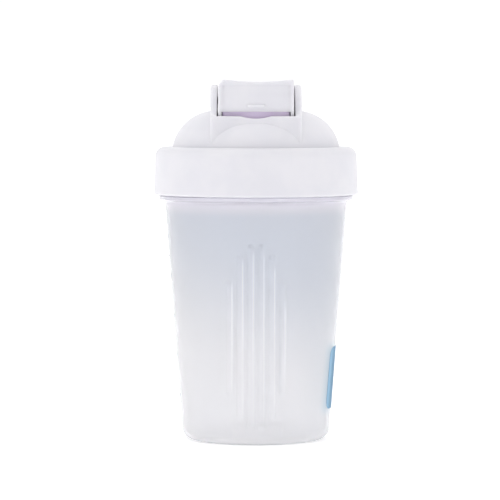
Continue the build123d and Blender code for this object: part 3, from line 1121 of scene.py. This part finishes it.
@dataclass
class Cup:
    """The frosted cup with its foot ring, grip ribs, collar flange and threaded neck."""

    finish: bpy.types.Material
    base: float = 32.9 * MM
    top: float = 41.0 * MM
    body: float = 108.4 * MM
    wall: float = 1.8 * MM
    floor: float = 2.2 * MM
    base_round: float = 5.5 * MM
    floor_round: float = 4 * MM
    cove: float = 2.3 * MM
    foot_width: float = 9.5 * MM
    foot_recess: float = 1.0 * MM
    foot_edge: float = 0.3 * MM
    foot_marks: tuple[Point, ...] = (
        (0, 0.7 * MM),
        (1.3 * MM, 0.7 * MM),
        (1.6 * MM, 1.0 * MM),
        (12.0 * MM, 1.0 * MM),
        (12.3 * MM, 0.8 * MM),
        (12.6 * MM, 1.0 * MM),
    )
    flange: float = 43.68 * MM
    flange_top: float = 110.3 * MM
    flange_edges: Span = (0.6 * MM, 0.35 * MM)
    neck: float = 42.0 * MM
    neck_inner: float = 39.9 * MM
    neck_foot: float = 0.4 * MM
    rim: float = 127 * MM
    rim_edge: float = 0.6 * MM
    step: Point = (39.2 * MM, 106.1 * MM)
    step_round: float = 1.2 * MM
    rib_count: int = 6
    rib_radius: float = 2.0 * MM
    rib_height: float = 0.9 * MM
    pad_low: Point = (-11 * MM, 3.4 * MM)
    pad_high: Point = (12 * MM, 10.2 * MM)
    pad_height: float = 0.28 * MM
    pad_edge: float = 0.8 * MM
    wall_rows: tuple[float, float, float] = (6.5 * MM, 104 * MM, 1.0 * MM)
    neck_rows: tuple[float, float, float] = (111.2 * MM, 125.6 * MM, 0.35 * MM)
    fine_spots: Span = (90, 270)
    fine_reach: float = 25
    fine_step: float = 0.4
    coarse_step: float = 3
    crease: float = 50
    thread: Thread = Thread(113.9 * MM, 0.75, 0.0)

    def radius_at(self, height: float) -> float:
        """The wall's outer radius at a height."""
        return self.base + (self.top - self.base) * height / self.body

    def rib_spans(self) -> list[tuple[float, float, float]]:
        """Each rib's place across the cup, its lower end and its upper end.

        Returns:
            Those three for each rib, from left to right.
        """
        half_width, middle, half_height = RIB_OVAL
        spans = []
        for number in range(self.rib_count):
            across = (number - (self.rib_count - 1) / 2) * RIB_SPACING
            half = half_height * math.sqrt(1 - (across / half_width) ** 2)
            spans.append((across, middle - half, middle + half))
        return spans

    def ribs(self, across: float, height: float) -> float:
        """How far the nearest rib stands out at a place across the cup and a height.

        Args:
            across: the place along X.
            height: the height.

        Returns:
            The rib's height there, 0 between the ribs.
        """
        best = 0.0
        for middle, low, high in self.rib_spans():
            past_end = max(low - height, height - high, 0.0)
            away = math.hypot(across - middle, past_end)
            if away < self.rib_radius:
                crown = math.sqrt(self.rib_radius**2 - away**2) - self.rib_radius
                best = max(best, self.rib_height + crown)
        return best

    def pad(self, across: float, height: float) -> float:
        """How far the blank marking pad stands out at a place low on the front.

        Args:
            across: the place along X.
            height: the height.

        Returns:
            The pad's height there, 0 beyond its edges.
        """
        inside = min(
            across - self.pad_low[0],
            self.pad_high[0] - across,
            height - self.pad_low[1],
            self.pad_high[1] - height,
        )
        return self.pad_height * smooth(inside / self.pad_edge)

    def swell(self, angle: float, radius: float, height: float) -> float:
        """Ribs, pad and thread, as a push outwards of the turned surface.

        Args:
            angle: a direction about the bottle's axis, in radians.
            radius: the turned surface's radius there.
            height: the height.

        Returns:
            How far the surface moves outwards.
        """
        if height > self.body:
            return self.thread.rise(angle, height) if radius > self.neck - self.wall / 2 else 0.0
        if radius < self.radius_at(height) - self.wall / 2 and height > self.floor:
            return 0.0
        across = radius * math.cos(angle)
        side = Side.FRONT if math.sin(angle) < 0 else Side.BACK
        raised = self.ribs(across, height)
        if side is Side.FRONT:
            raised += self.pad(across, height)
        return raised

    def outline(self) -> list[Point]:
        """The section of the wall, from the middle of the base round to the inside floor.

        Returns:
            (radius, height) of each point, in order.
        """
        wall = [(self.radius_at(z), z) for z in np.arange(*self.wall_rows)]
        neck = [(self.neck, z) for z in np.arange(*self.neck_rows)]
        ring = self.base - self.foot_width
        under_edge, upper_edge = self.flange_edges
        corners = [
            *((point, 0) for point in self.foot_marks),
            ((ring, self.foot_recess), self.foot_edge),
            ((ring + self.foot_recess, 0), self.foot_edge),
            ((self.base, 0), self.base_round),
            *((point, 0) for point in wall),
            ((self.top, self.body), self.cove),
            ((self.flange, self.body), under_edge),
            ((self.flange, self.flange_top), upper_edge),
            ((self.neck, self.flange_top), self.neck_foot),
            *((point, 0) for point in neck),
            ((self.neck, self.rim), self.rim_edge),
            ((self.neck_inner, self.rim), self.rim_edge),
            ((self.neck_inner, self.flange_top), self.step_round),
            (self.step, self.step_round),
            ((self.radius_at(self.floor) - self.wall, self.floor), self.floor_round),
            ((0, self.floor), 0),
        ]
        return section(corners)

    def build(self) -> None:
        """Turns the cup and dresses it."""
        angles = graded_angles(
            self.fine_spots, self.fine_reach, self.fine_step, self.coarse_step
        )
        cup = lathe("frosted_cup", self.outline(), angles, self.swell)
        dress(crisp(cup, self.crease), self.finish, "cup", "frosted_cup", "cup")


@dataclass
class WallPrint:
    """A film of ink on the cup's wall, cut as flat shapes and then bent onto the wall."""

    name: str
    node: str
    slot: str
    finish: bpy.types.Material
    shapes: list[list[Point]]
    cup: Cup
    side: int
    ink: float = 0.09 * MM
    gap: float = 0.03 * MM
    edge: float = 0.04 * MM
    pitch: float = 1.5 * MM
    crease: float = 60

    def build(self) -> None:
        """Cuts the shapes, rounds their edges, bends them onto the wall and dresses them."""
        flats = [prism(self.name, shape, side_plane(0), self.ink) for shape in self.shapes]
        film = soften(merged(self.name, flats), self.edge, 2)
        mesh = bmesh.new()
        mesh.from_mesh(film.data)
        reach = max(abs(vertex.co.y) for vertex in mesh.verts)
        for across in np.arange(-reach + self.pitch / 2, reach, self.pitch):
            everything = [*mesh.verts, *mesh.edges, *mesh.faces]
            bmesh.ops.bisect_plane(
                mesh, geom=everything, plane_co=(0, across, 0), plane_no=(0, 1, 0)
            )
        for vertex in mesh.verts:
            out = self.cup.radius_at(vertex.co.z) + self.gap + vertex.co.x
            vertex.co.x = self.side * math.sqrt(out**2 - vertex.co.y**2)
        bpy.data.objects.remove(film)
        bent = as_object(self.name, mesh)
        dress(crisp(bent, self.crease), self.finish, "cup", self.slot, self.node)


@dataclass
class Strainer:
    """The drop-in basket that breaks up lumps: a flanged ring over a floor of square windows."""

    finish: bpy.types.Material
    basket: float = 39.5 * MM
    wall: float = 1.2 * MM
    sheet: float = 1.4 * MM
    flange: float = 41.6 * MM
    flange_height: float = 1.2 * MM
    window_reach: float = 34.5 * MM
    pitch: float = 6.6 * MM
    bar: float = 1.6 * MM
    base_round: float = 3 * MM
    floor_round: float = 1.8 * MM
    under_edge: float = 0.3 * MM
    edge: float = 0.4 * MM
    window_edge: float = 0.22 * MM
    facets: int = 144
    rim_facets: int = 120
    crease: float = 40

    def windows(self, low: float) -> bpy.types.Object:
        """The square windows as solids, trimmed to a circle.

        Args:
            low: the height of the basket's underside.

        Returns:
            All the windows as one cutter.
        """
        half = (self.pitch - self.bar) / 2
        count = math.ceil(self.window_reach / self.pitch)
        cutters = []
        for column in range(-count, count + 1):
            for line in range(-count, count + 1):
                x, y = column * self.pitch, line * self.pitch
                nearest = math.hypot(max(abs(x) - half, 0), max(abs(y) - half, 0))
                if nearest < self.window_reach - self.bar:
                    corner = (x + half, y + half, low + 3 * self.sheet)
                    cutters.append(box("window", (x - half, y - half, low - self.sheet), corner))
        block = merged("windows", cutters)
        outline = [(0, low - 2 * self.sheet), (self.window_reach, low - 2 * self.sheet)]
        outline += [(radius, low + 4 * self.sheet) for radius in (self.window_reach, 0)]
        return change(block, lathe("rim", outline, even_angles(self.rim_facets)), Cut.KEEP_COMMON)

    def build(self) -> None:
        """Turns the basket, cuts its windows and dresses it."""
        low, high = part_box("strainer")
        rim = high.z - self.flange_height
        inner = self.basket - self.wall
        corners = [
            ((0, low.z), 0),
            ((self.basket, low.z), self.base_round),
            ((self.basket, rim), self.edge),
            ((self.flange, rim), self.under_edge),
            ((self.flange, high.z), self.edge),
            ((inner, high.z), self.edge),
            ((inner, low.z + self.sheet), self.floor_round),
            ((0, low.z + self.sheet), 0),
        ]
        basket = lathe("mixing_strainer", section(corners), even_angles(self.facets))
        basket = change(basket, self.windows(low.z), Cut.TAKE_AWAY)
        basket = crisp(soften(basket, self.window_edge, 2), self.crease)
        dress(basket, self.finish, "strainer", "white_shell", "strainer")


@dataclass
class Gasket:
    """The sealing ring in the lid's ceiling, with a shallow groove between two lips."""

    finish: bpy.types.Material
    width: float = 4.8 * MM
    groove: float = 0.35 * MM
    groove_half: Span = (0.6 * MM, 1.2 * MM)
    groove_edge: float = 0.3 * MM
    edge: float = 0.4 * MM
    facets: int = 180
    crease: float = 50

    def build(self) -> None:
        """Turns the ring and dresses it."""
        low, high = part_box("lid_gasket")
        outer = high.x
        inner = outer - self.width
        middle = (outer + inner) / 2
        bed, mouth = self.groove_half
        corners = [
            ((inner, low.z), self.edge),
            ((middle - mouth, low.z), self.groove_edge),
            ((middle - bed, low.z + self.groove), self.groove_edge),
            ((middle + bed, low.z + self.groove), self.groove_edge),
            ((middle + mouth, low.z), self.groove_edge),
            ((outer, low.z), self.edge),
            ((outer, high.z), self.groove_edge),
            ((inner, high.z), self.groove_edge),
        ]
        ring = lathe("lid_gasket_ring", section(corners), even_angles(self.facets))
        ring = crisp(ring, self.crease)
        dress(ring, self.finish, "gasket", "clear_silicone", "lid_gasket")


@dataclass
class Lid:
    """The screw lid: threaded collar, dome, hinge tower with its two fins, and the spout."""

    finish: bpy.types.Material
    hinge: Point
    collar: float = 46.0 * MM
    collar_top: float = 132.1 * MM
    collar_edge: float = 0.9 * MM
    shoulder: float = 4.2 * MM
    draft: float = 0.75 * MM
    bore: float = 43.75 * MM
    ceiling: float = 130.0 * MM
    ring: float = 18.0 * MM
    dome: float = 20.0 * MM
    dome_centre: float = 128.4 * MM
    shell: float = 2.0 * MM
    front: float = -31.7 * MM
    rear: float = 19.6 * MM
    pocket_front: float = -30.1 * MM
    pocket_rear: float = 17.6 * MM
    pocket_half: float = 17.4 * MM
    pocket_floor: float = 142.5 * MM
    fin: float = 3.0 * MM
    fin_round: float = 1.4 * MM
    inner_round: float = 0.4 * MM
    fin_drop: float = 1.9 * MM
    fin_corner: float = 1.5 * MM
    fin_knee: Point = (11 * MM, 1.8 * MM)
    fin_brow: float = 14.4 * MM
    fin_sweep: float = 14 * MM
    fin_head: float = 7.2 * MM
    fin_lean: float = 60
    fin_step: float = 0.12
    tower_setback: float = 0.05 * MM
    tower_edge: float = 0.35 * MM
    parapet: float = 146.1 * MM
    notch: float = 22.8 * MM
    notch_depth: float = 1.1 * MM
    notch_walls: float = 2.5
    spout_y: float = -14.6 * MM
    spout: Span = (8.5 * MM, 10.5 * MM)
    spout_rim: float = 154.0 * MM
    spout_edge: float = 0.7 * MM
    pin_hole: float = 1.8 * MM
    slack: float = 0.01 * MM
    thread_rows: tuple[float, float, float] = (111 * MM, 124 * MM, 0.4 * MM)
    facets: int = 216
    dome_facets: tuple[int, int] = (36, 30)
    notch_facets: int = 160
    spout_facets: int = 96
    crease: float = 32
    thread: Thread = Thread(113.0 * MM, 0.625, math.radians(63), height=1.3 * MM)

    def solid(self) -> bpy.types.Object:
        """The collar and dome, filled.

        Returns:
            The turned solid.
        """
        low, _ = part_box("lid")
        dome_top = self.dome_centre + self.dome
        start = math.degrees(math.asin((self.collar_top - self.dome_centre) / self.dome))
        over = arc((self.ring, self.dome_centre), self.dome, start, 90, self.dome_facets[0])
        corners = [
            ((0, low.z), 0),
            ((self.collar, low.z), self.collar_edge),
            ((self.collar - self.draft, self.collar_top), self.shoulder),
            *((point, 0) for point in over),
            ((0, dome_top), 0),
        ]
        return lathe("screw_lid", section(corners), even_angles(self.facets))

    def fin_plate(self, side: int) -> bpy.types.Object:
        """One fin of the hinge tower, with all its edges rounded.

        Args:
            side: 1 for the fin at positive X, -1 for the other.

        Returns:
            The fin.
        """
        hinge_y, hinge_z = self.hinge
        foot = self.collar_top - self.shell / 2
        corner = self.dome_centre + self.dome - self.fin_drop
        run, rise = self.fin_knee
        top = hinge_z + self.fin_head
        head = hinge_y + self.fin_head * math.tan(math.radians(self.fin_lean / 2))
        tail = head + (top - foot) / math.tan(math.radians(self.fin_lean))
        points = [
            (self.front, foot),
            (self.front, corner),
            (self.front + run, corner + rise),
            (hinge_y - self.fin_brow, top),
            (head, top),
            (tail, foot),
        ]
        radii = [0, self.fin_corner, self.fin_sweep, self.fin_sweep, self.fin_head, 0]
        outline = rounded(points, radii, self.fin_step)
        near = side * self.pocket_half
        plate = prism("fin", outline, side_plane(near), side * self.fin)
        outer = near + side * self.fin
        soften(plate, self.fin_round, 5, lambda middle: abs(middle.x - outer) < self.slack)
        return soften(plate, self.inner_round, 3, lambda middle: abs(middle.x - near) < self.slack)

    def tower(self) -> bpy.types.Object:
        """The block that the pocket is cut from, just behind the fins' front edges.

        Returns:
            The block.
        """
        half = self.pocket_half + self.fin / 2
        start = self.front + self.tower_setback
        low = (-half, start, self.ceiling + self.shell / 2)
        return soften(box("tower", low, (half, self.rear, self.parapet)), self.tower_edge)

    def under(self) -> bpy.types.Object:
        """The space under the dome, with the pocket's floor and walls left standing in it.

        Returns:
            The space, as a cutter.
        """
        low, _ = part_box("lid")
        inner = self.dome - self.shell
        start = math.degrees(math.asin((self.ceiling - self.dome_centre) / inner))
        over = arc((self.ring, self.dome_centre), inner, start, 90, self.dome_facets[1])
        rows = [(self.bore, z) for z in np.arange(*self.thread_rows)]
        outline = [
            (0, low.z - self.shell),
            (self.bore, low.z - self.shell),
            *rows,
            (self.bore, self.ceiling),
            *over,
            (0, self.dome_centre + inner),
        ]
        space = lathe("under", outline, even_angles(self.facets), self.swell)
        floor = self.pocket_floor - self.shell
        half = self.pocket_half + self.shell
        above = (half, self.rear, self.dome_centre + self.dome)
        space = change(space, box("kept", (-half, self.front, floor), above), Cut.TAKE_AWAY)
        half = self.pocket_half + self.fin - self.shell
        front, rear = self.front + self.shell, self.rear - self.shell
        hollow = box("hollow", (-half, front, self.ceiling - self.shell), (half, rear, floor))
        return change(space, hollow, Cut.JOIN)

    def swell(self, angle: float, radius: float, height: float) -> float:
        """The collar's thread, which stands inwards from the bore.

        Args:
            angle: a direction about the bottle's axis, in radians.
            radius: the turned surface's radius there.
            height: the height.

        Returns:
            How far the surface moves outwards, which is below 0 on the thread.
        """
        if radius < self.bore - self.slack or height > self.ceiling - self.shell:
            return 0.0
        return -self.thread.rise(angle, height)

    def open_pocket(self, lid: bpy.types.Object) -> bpy.types.Object:
        """Cuts the pocket between the fins, the notch in its front wall and the space under it.

        Args:
            lid: the lid as a filled shape.

        Returns:
            The lid as a shell.
        """
        top = self.hinge[1] + 2 * self.fin_head
        half = self.pocket_half - self.slack
        start = (-half, self.pocket_front, self.pocket_floor)
        lid = change(lid, box("pocket", start, (half, self.pocket_rear, top)), Cut.TAKE_AWAY)
        centre = (0, self.parapet - self.notch_depth + self.notch)
        scoop = arc(centre, self.notch, 0, 360, self.notch_facets)[:-1]
        wall = self.pocket_front - self.front
        plane = front_plane(self.front - wall)
        lid = change(lid, prism("notch", scoop, plane, self.notch_walls * wall), Cut.TAKE_AWAY)
        return change(lid, self.under(), Cut.TAKE_AWAY)

    def add_spout(self, lid: bpy.types.Object) -> bpy.types.Object:
        """Opens the drain in the pocket's floor and stands the spout round it.

        Args:
            lid: the lid as a shell.

        Returns:
            The lid with its spout.
        """
        floor = self.pocket_floor - self.shell
        bore, outer = self.spout
        place = Matrix.Translation((0, self.spout_y, 0))
        angles = even_angles(self.spout_facets)
        low, high = floor - bore, self.pocket_floor + self.shell / 2
        drain = lathe("drain", [(0, low), (bore, low), (bore, high), (0, high)], angles)
        drain.data.transform(place)
        lid = change(lid, drain, Cut.TAKE_AWAY)
        inner = bore - self.slack
        corners = [
            ((inner, floor), 0),
            ((outer, floor), 0),
            ((outer, self.spout_rim), self.spout_edge),
            ((inner, self.spout_rim), self.spout_edge),
        ]
        tube = lathe("tube", section(corners), angles)
        tube.data.transform(place)
        return change(lid, tube, Cut.JOIN)

    def build(self) -> None:
        """Joins the solids, makes the openings and the spout, and dresses the lid."""
        lid = change(self.solid(), self.tower(), Cut.JOIN)
        for side in (-1, 1):
            lid = change(lid, self.fin_plate(side), Cut.JOIN)
        lid = self.add_spout(self.open_pocket(lid))
        reach = self.pocket_half + 2 * self.fin
        hole = bar_across("pin_hole", self.hinge, self.pin_hole, reach)
        lid = change(lid, hole, Cut.TAKE_AWAY)
        dress(crisp(lid, self.crease), self.finish, "lid", "white_shell", "lid")


@dataclass
class FlipCap:
    """The hinged cap: a bulging front panel between two cheeks, a saddle pad and a thumb tab."""

    finish: bpy.types.Material
    hinge: Point
    half: float = 16.75 * MM
    cheek: float = 1.5 * MM
    front: float = -29.5 * MM
    bulge: float = 1.8 * MM
    lip: float = 148.0 * MM
    foot: float = 145.0 * MM
    plate: float = 3.0 * MM
    barrel: float = 7.0 * MM
    front_wall: float = 1.5 * MM
    edge: float = 0.75 * MM
    groove: float = 0.35 * MM
    groove_depth: float = 0.3 * MM
    groove_place: float = 14.5 * MM
    pad_left: float = -14.4 * MM
    pad_right: float = 0.1 * MM
    pad_front: float = -29.8 * MM
    pad_length: float = 28.1 * MM
    pad_dip: float = 1.0 * MM
    pad_slope: tuple[float, float, float] = (2.2 * MM, 2.0 * MM, 0.3 * MM)
    pad_edge: float = 0.6 * MM
    tab: tuple[float, float, float] = (8.0 * MM, 2.2 * MM, 1.4 * MM)
    tab_rise: float = 1.9 * MM
    tab_edge: float = 0.45 * MM
    barrel_gap: float = 0.6 * MM
    pin_hole: float = 1.95 * MM
    face_facets: int = 20
    barrel_facets: int = 36
    pad_facets: int = 32
    crease: float = 32

    def face(self, inset: float) -> list[Point]:
        """The bulging front seen from the side, from the lip up to the brow.

        Args:
            inset: how far behind the cap's surface the curve runs.

        Returns:
            The curve's points as Y and Z.
        """
        _, hinge_z = self.hinge
        top = hinge_z + self.barrel
        half_chord = (top - self.lip) / 2
        radius = (half_chord**2 + self.bulge**2) / (2 * self.bulge)
        centre = (self.front - self.bulge + radius, (top + self.lip) / 2)
        spread = math.degrees(math.asin(half_chord / radius))
        return arc(centre, radius - inset, 180 + spread, 180 - spread, self.face_facets)

    def block(self) -> bpy.types.Object:
        """The cap's whole outline pushed through its width, with rounded edges.

        Returns:
            The filled cap, without pad and tab.
        """
        hinge_y, hinge_z = self.hinge
        away = Vector((hinge_y - self.front, hinge_z - self.foot))
        slope = math.atan2(away.y, away.x) - math.asin(self.barrel / away.length)
        end = math.degrees(slope) - 90
        turned = arc(self.hinge, self.barrel, 90, end, self.barrel_facets)
        outline = [(self.front, self.foot), *self.face(0.0), *turned]
        whole = prism("flip_cap_shell", outline, side_plane(-self.half), 2 * self.half)
        return soften(whole, self.edge, 4)

    def saddle(self) -> bpy.types.Object:
        """The pad on top: its surface dips in the middle and its left end slopes.

        Returns:
            The pad.
        """
        _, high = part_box("flip_cap")
        top = self.hinge[1] + self.barrel
        left, right = self.pad_left, self.half - self.pad_right
        middle = (left + right) / 2
        radius = (((right - left) / 2) ** 2 + self.pad_dip**2) / (2 * self.pad_dip)
        spread = math.degrees(math.asin((right - left) / 2 / radius))
        centre = (middle, high.z - self.pad_dip + radius)
        surface = arc(centre, radius, 270 - spread, 270 + spread, self.pad_facets)
        low = top - self.plate / 2
        foot, toe, lift = self.pad_slope
        outline = [(left - foot, low), (left - toe, top + lift), *surface, (right, low)]
        pad = prism("pad", outline, front_plane(self.pad_front), self.pad_length)
        return soften(pad, self.pad_edge, 4)

    def thumb_tab(self) -> bpy.types.Object:
        """The bar that stands out of the front panel, just above its lip.

        Returns:
            The bar.
        """
        width, proud, height = self.tab
        low = self.lip + self.tab_rise
        start = (-width / 2, self.front - proud, low)
        end = (width / 2, self.front + self.front_wall / 2, low + height)
        return soften(box("tab", start, end), self.tab_edge)

    def hollow(self, cap: bpy.types.Object) -> bpy.types.Object:
        """Cuts the space for the liner, and the mouth below the front panel's lip.

        Args:
            cap: the cap as a filled shape.

        Returns:
            The cap as a shell.
        """
        hinge_y, hinge_z = self.hinge
        inner = self.half - self.cheek
        low = self.foot - self.plate
        behind = hinge_y - self.barrel - self.barrel_gap
        end = (inner, behind, hinge_z + self.barrel - self.plate)
        cavity = box("cavity", (-inner, self.front + self.front_wall, low), end)
        cap = change(cap, cavity, Cut.TAKE_AWAY)
        start = (-inner, self.front - 2 * self.bulge, low)
        mouth = box("mouth", start, (inner, self.front + 2 * self.front_wall, self.lip))
        return change(cap, mouth, Cut.TAKE_AWAY)

    def build(self) -> None:
        """Shapes the cap, adds pad and tab, hollows it, and dresses it."""
        cap = change(self.block(), self.saddle(), Cut.JOIN)
        cap = self.hollow(change(cap, self.thumb_tab(), Cut.JOIN))
        line = self.face(self.groove_depth)
        outer = self.front - 3 * self.bulge
        slot = [*line, (outer, line[-1][1]), (outer, line[0][1])]
        for side in (-1, 1):
            near = side * self.groove_place - self.groove / 2
            cap = change(cap, prism("groove", slot, side_plane(near), self.groove), Cut.TAKE_AWAY)
        hole = bar_across("hole", self.hinge, self.pin_hole, 2 * self.half)
        cap = change(cap, hole, Cut.TAKE_AWAY)
        dress(crisp(cap, self.crease), self.finish, "flip_cap", "white_shell", "flip_cap")


@dataclass
class SpoutSeal:
    """The soft lavender liner inside the cap, with a plug for the spout."""

    finish: bpy.types.Material
    plate: float = 2.5 * MM
    skirt: float = 1.5 * MM
    skirt_end: float = -10.9 * MM
    spout_y: float = -14.6 * MM
    plug: Span = (8.1 * MM, 7.5 * MM)
    plug_length: float = 4.8 * MM
    plug_edge: float = 1.2 * MM
    edge: float = 0.5 * MM
    facets: int = 72
    crease: float = 40

    def build(self) -> None:
        """Shapes the liner and its plug and dresses them."""
        low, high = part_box("spout_seal")
        under = high.z - self.plate
        body = soften(box("spout_liner", low, high), self.edge)
        start = (low.x - self.skirt, self.skirt_end, low.z - self.skirt)
        behind = box("behind", start, (high.x + self.skirt, high.y + self.skirt, under))
        body = change(body, behind, Cut.TAKE_AWAY)
        start = (low.x + self.skirt, low.y + self.skirt, low.z - self.skirt)
        inside = box("inside", start, (high.x - self.skirt, high.y, under))
        body = change(body, inside, Cut.TAKE_AWAY)
        wide, narrow = self.plug
        end = under - self.plug_length
        corners = [
            ((0, end), 0),
            ((narrow, end), self.plug_edge),
            ((wide, under), 0),
            ((wide, under + self.skirt), 0),
            ((0, under + self.skirt), 0),
        ]
        plug = lathe("plug", section(corners), even_angles(self.facets))
        plug.data.transform(Matrix.Translation((0, self.spout_y, 0)))
        body = change(body, plug, Cut.JOIN)
        body = crisp(body, self.crease)
        dress(body, self.finish, "flip_cap", "lavender_silicone", "spout_seal")


@dataclass
class HingePin:
    """The pin through both fins and the cap's barrel."""

    finish: bpy.types.Material
    hinge: Point
    chamfer: float = 0.4 * MM
    edge: float = 0.2 * MM
    crease: float = 50

    def build(self) -> None:
        """Turns the pin, lays it on the hinge's axis and dresses it."""
        low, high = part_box("hinge_pin")
        radius = (high.z - low.z) / 2
        corners = [
            ((0, low.x), 0),
            ((radius - self.chamfer, low.x), self.edge),
            ((radius, low.x + self.chamfer), self.edge),
            ((radius, high.x - self.chamfer), self.edge),
            ((radius - self.chamfer, high.x), self.edge),
            ((0, high.x), 0),
        ]
        pin = lathe("hinge_pin_rod", section(corners), even_angles(BAR_FACETS))
        pin.data.transform(Matrix.Translation((0, *self.hinge)) @ Matrix.Rotation(TURN / 4, 4, "Y"))
        dress(crisp(pin, self.crease), self.finish, "lid", "white_shell", "hinge_pin")


@dataclass
class Bottle:
    """The whole bottle, piece by piece."""

    frame: dict[str, object]
    panel_size: Span = (27 * MM, 28 * MM)
    panel_corner: float = 4 * MM
    panel_low: float = 14.4 * MM
    tick_count: int = 9
    tick_pitch: float = 9 * MM
    tick_first: float = 20 * MM
    tick_height: float = 0.7 * MM
    tick_lengths: Span = (11 * MM, 6.5 * MM)

    def hinge(self) -> Point:
        """Where the cap's hinge crosses the bottle's middle plane."""
        joint = next(joint for joint in self.frame["joints"] if joint["name"] == "cap_hinge")
        return joint["pos_m"][1], joint["pos_m"][2]

    def panel_shape(self) -> list[Point]:
        """The printed panel's outline, laid flat.

        Returns:
            The outline, as the way round the wall and the height.
        """
        width, height = self.panel_size
        half = width / 2
        low, high = self.panel_low, self.panel_low + height
        corners = [(-half, low), (half, low), (half, high), (-half, high)]
        return section([(corner, self.panel_corner) for corner in corners])

    def tick_shapes(self) -> list[list[Point]]:
        """The outline of each mark of the volume scale, laid flat.

        Returns:
            The outlines, from the lowest mark up.
        """
        long, short = self.tick_lengths
        start = long / 2
        shapes = []
        for number in range(self.tick_count):
            length = short if number % 2 else long
            low = self.tick_first + number * self.tick_pitch - self.tick_height / 2
            high = low + self.tick_height
            end = start - length
            shapes.append([(end, low), (start, low), (start, high), (end, high)])
        return shapes

    def build(self) -> None:
        """Makes the finishes and builds every piece in them."""
        shell = MouldedShell().make()
        lavender = Silicone("lavender_silicone", (0.88, 0.755, 0.99), (0.91, 0.80, 1.0)).make()
        clear = Silicone("clear_silicone", (0.80, 0.80, 0.83), (0.76, 0.76, 0.80)).make()
        blue = ScreenPrint("blue_print", (0.32, 0.53, 0.72), (0.08, 0.23, 0.37)).make()
        grey = ScreenPrint("grey_print", (0.62, 0.64, 0.70), (0.56, 0.58, 0.65)).make()
        cup = Cup(FrostedWall().make())
        cup.build()
        panel = [self.panel_shape()]
        WallPrint("blue_panel", "side_panel", "blue_ink", blue, panel, cup, 1).build()
        ticks = self.tick_shapes()
        WallPrint("scale_marks", "volume_scale", "grey_ink", grey, ticks, cup, -1).build()
        Strainer(shell).build()
        Gasket(clear).build()
        Lid(shell, self.hinge()).build()
        FlipCap(shell, self.hinge()).build()
        SpoutSeal(lavender).build()
        HingePin(shell, self.hinge()).build()


def main() -> None:
    """Loads the frame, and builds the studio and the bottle."""
    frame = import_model()
    Studio().build()
    Bottle(frame).build()


if __name__ == "__main__":
    logging.basicConfig(level=logging.INFO, format="%(message)s")
    main()
